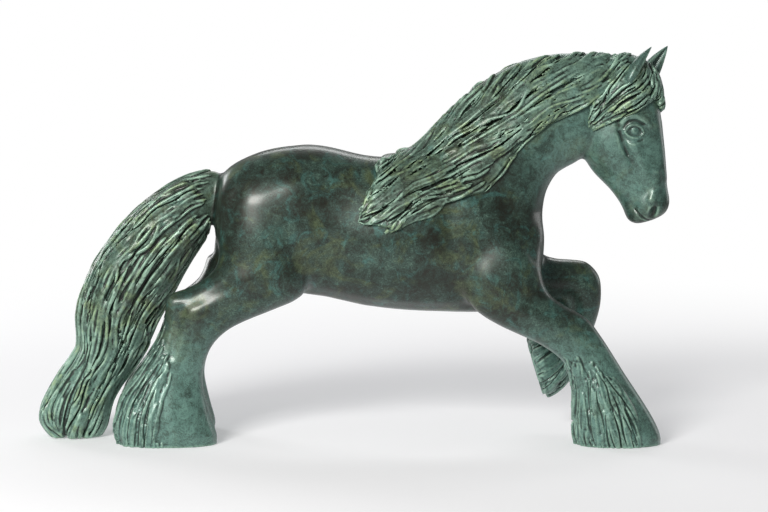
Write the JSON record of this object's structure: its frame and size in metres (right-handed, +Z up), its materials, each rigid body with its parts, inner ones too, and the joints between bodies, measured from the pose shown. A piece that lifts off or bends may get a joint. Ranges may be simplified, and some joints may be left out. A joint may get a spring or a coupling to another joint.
{
  "type": "horse statuette",
  "caption": "Patinated bronze statuette of a feathered cob horse in a collected canter, standing free on three feet as a shelf, table or mantel ornament.",
  "frame": {"origin": "on the ground under the middle of the figure's overall box", "axes": "+X the way the horse faces, +Y to its left side, +Z up"},
  "size_m": [0.3982, 0.0892, 0.2495],
  "materials": {
    "bronze_patina": "mottled green patina over bronze, waxed satin",
    "hair_patina": "lighter verdigris on raised strands, dark in the grooves, waxed satin",
    "bare_bronze": "bare drawn bronze rod, hidden inside"
  },
  "bodies": {
    "root": {"belly_patch": "bronze_patina", "ear_left": "bronze_patina", "ear_right": "bronze_patina", "fore_leg_left_raised": "bronze_patina", "fore_leg_left_raised_dowel": "bare_bronze", "fore_leg_right": "bronze_patina", "fore_leg_right_dowel": "bare_bronze", "forelock": "hair_patina", "head": "bronze_patina", "hind_leg_left": "bronze_patina", "hind_leg_left_dowel": "bare_bronze", "hind_leg_right": "bronze_patina", "hind_leg_right_dowel": "bare_bronze", "mane": "hair_patina", "neck": "bronze_patina", "neck_chest_pin": "bare_bronze", "neck_core_plug_left": "bronze_patina", "neck_core_plug_right": "bronze_patina", "neck_crest_pin": "bare_bronze", "poll_pin": "bare_bronze", "tail": "hair_patina", "tail_core_plug_left": "hair_patina", "tail_core_plug_right": "hair_patina", "tail_dowel": "bare_bronze", "throat_pin": "bare_bronze", "torso": "bronze_patina", "torso_core_plug_left_1": "bronze_patina", "torso_core_plug_left_2": "bronze_patina", "torso_core_plug_right_1": "bronze_patina", "torso_core_plug_right_2": "bronze_patina"}
  },
  "joints": []
}
